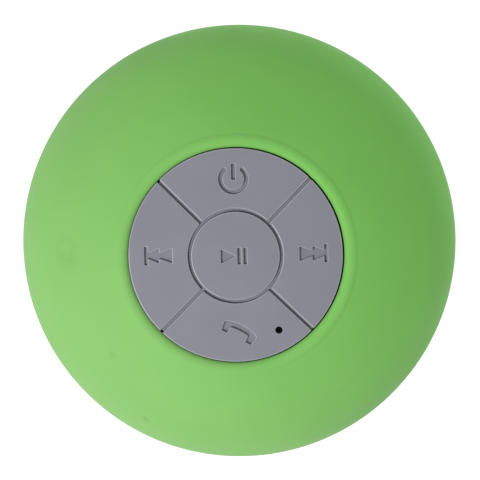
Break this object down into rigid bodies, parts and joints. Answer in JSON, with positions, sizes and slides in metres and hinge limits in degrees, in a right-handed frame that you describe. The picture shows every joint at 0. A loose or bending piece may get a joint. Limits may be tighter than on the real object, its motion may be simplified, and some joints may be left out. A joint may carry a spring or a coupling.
{
  "type": "shower speaker",
  "caption": "Small round wireless speaker in a green silicone sleeve, with a domed grey keypad in front and a turning suction cup behind.",
  "frame": {"origin": "centre of the suction cup's lip plane, on the speaker's axis", "axes": "+Z out through the keypad along the speaker's axis, +Y towards the power key, +X towards the next key"},
  "size_m": [0.086, 0.086, 0.055],
  "materials": {
    "sleeve_green": "matte silicone",
    "keypad_grey": "matte silicone",
    "shell_plastic": "moulded",
    "cover_plastic": "fine spark texture",
    "cup_rubber": "semi-gloss soft vinyl",
    "seal_rubber": "matte",
    "flap_rubber": "matte",
    "steel": "zinc plated",
    "basket_steel": "black coat",
    "magnet_ferrite": "ferrite",
    "board_green": "solder mask",
    "component_black": "moulded epoxy",
    "plunger_plastic": "moulded",
    "battery_foil": "pouch foil",
    "foam_pad": "closed foam",
    "lead_red": "insulation",
    "lead_black": "insulation",
    "lead_white": "insulation",
    "mesh_cloth": "acoustic cloth",
    "cone_paper": "pulp",
    "spider_cloth": "woven, resin dipped",
    "coil_copper": "enamelled copper",
    "can_metal": "drawn can",
    "retainer_plastic": "moulded"
  },
  "bodies": {
    "speaker_body": {"silicone_sleeve": "sleeve_green", "front_shell": "shell_plastic", "keypad_web": "keypad_grey", "keypad_retainer": "retainer_plastic", "retainer_screws": "steel", "main_board": "board_green", "board_screws": "steel", "switch_bodies": "component_black", "microphone": "can_metal", "microphone_boot": "seal_rubber", "bluetooth_module": "component_black", "amplifier_chip": "component_black", "capacitors": "can_metal", "battery_cell": "battery_foil", "battery_pad": "foam_pad", "board_pad": "foam_pad", "battery_leads": "lead_red", "speaker_leads": "lead_black", "port_leads": "lead_white", "port_board": "board_green", "port_board_screws": "steel", "usb_connector": "can_metal", "port_cover_anchor": "flap_rubber", "rear_cover": "cover_plastic", "rear_seal": "seal_rubber", "rear_screws": "steel", "grille_membrane": "mesh_cloth", "driver_gasket": "foam_pad", "driver_frame": "basket_steel", "driver_terminals": "plunger_plastic", "clamp_ring": "retainer_plastic", "clamp_screws": "steel", "surround": "seal_rubber", "spider": "spider_cloth", "top_plate": "steel", "ring_magnet": "magnet_ferrite", "back_plate": "steel"},
    "key_power": {"key_power": "keypad_grey"},
    "key_previous": {"key_previous": "keypad_grey"},
    "key_next": {"key_next": "keypad_grey"},
    "key_call": {"key_call": "keypad_grey"},
    "key_play_pause": {"key_play_pause": "keypad_grey"},
    "plunger_power": {"switch_plunger_power": "plunger_plastic"},
    "plunger_previous": {"switch_plunger_previous": "plunger_plastic"},
    "plunger_next": {"switch_plunger_next": "plunger_plastic"},
    "plunger_call": {"switch_plunger_call": "plunger_plastic"},
    "plunger_play_pause": {"switch_plunger_play_pause": "plunger_plastic"},
    "cup_mount": {"suction_cup": "cup_rubber", "cup_stud": "cover_plastic", "cup_washer": "steel", "cup_screw": "steel"},
    "port_flap": {"port_cover": "flap_rubber"},
    "cone_assembly": {"cone": "cone_paper", "dust_cap": "cone_paper", "voice_coil": "coil_copper"}
  },
  "joints": [
    {"name": "press_power", "type": "slide", "parent": "speaker_body", "child": "key_power", "axis": [0, 0, -1], "range_m": [0, 0.00035], "stiffness_N_per_m": 2000},
    {"name": "press_previous", "type": "slide", "parent": "speaker_body", "child": "key_previous", "axis": [0, 0, -1], "range_m": [0, 0.00035], "stiffness_N_per_m": 2000},
    {"name": "press_next", "type": "slide", "parent": "speaker_body", "child": "key_next", "axis": [0, 0, -1], "range_m": [0, 0.00035], "stiffness_N_per_m": 2000},
    {"name": "press_call", "type": "slide", "parent": "speaker_body", "child": "key_call", "axis": [0, 0, -1], "range_m": [0, 0.00035], "stiffness_N_per_m": 2000},
    {"name": "press_play_pause", "type": "slide", "parent": "speaker_body", "child": "key_play_pause", "axis": [0, 0, -1], "range_m": [0, 0.00035], "stiffness_N_per_m": 2000},
    {"name": "plunge_power", "type": "slide", "parent": "speaker_body", "child": "plunger_power", "axis": [0, 0, -1], "range_m": [0, 0.00035]},
    {"name": "plunge_previous", "type": "slide", "parent": "speaker_body", "child": "plunger_previous", "axis": [0, 0, -1], "range_m": [0, 0.00035]},
    {"name": "plunge_next", "type": "slide", "parent": "speaker_body", "child": "plunger_next", "axis": [0, 0, -1], "range_m": [0, 0.00035]},
    {"name": "plunge_call", "type": "slide", "parent": "speaker_body", "child": "plunger_call", "axis": [0, 0, -1], "range_m": [0, 0.00035]},
    {"name": "plunge_play_pause", "type": "slide", "parent": "speaker_body", "child": "plunger_play_pause", "axis": [0, 0, -1], "range_m": [0, 0.00035]},
    {"name": "cup_swivel", "type": "hinge", "parent": "speaker_body", "child": "cup_mount", "pos_m": [0, 0, 0.0125], "axis": [0, 0, 1], "continuous": true},
    {"name": "port_flap_hinge", "type": "hinge", "parent": "speaker_body", "child": "port_flap", "pos_m": [-0.0056, -0.02845, 0.01505], "axis": [0, 1, 0], "range_deg": [0, 115]},
    {"name": "cone_travel", "type": "slide", "parent": "speaker_body", "child": "cone_assembly", "axis": [0, 0, 1], "range_m": [-0.0005, 0.0005], "stiffness_N_per_m": 1200, "deforming": ["surround", "spider"]}
  ],
  "couplings": [
    {"joint": "plunge_power", "follows": "press_power", "ratio": 1},
    {"joint": "plunge_previous", "follows": "press_previous", "ratio": 1},
    {"joint": "plunge_next", "follows": "press_next", "ratio": 1},
    {"joint": "plunge_call", "follows": "press_call", "ratio": 1},
    {"joint": "plunge_play_pause", "follows": "press_play_pause", "ratio": 1}
  ]
}
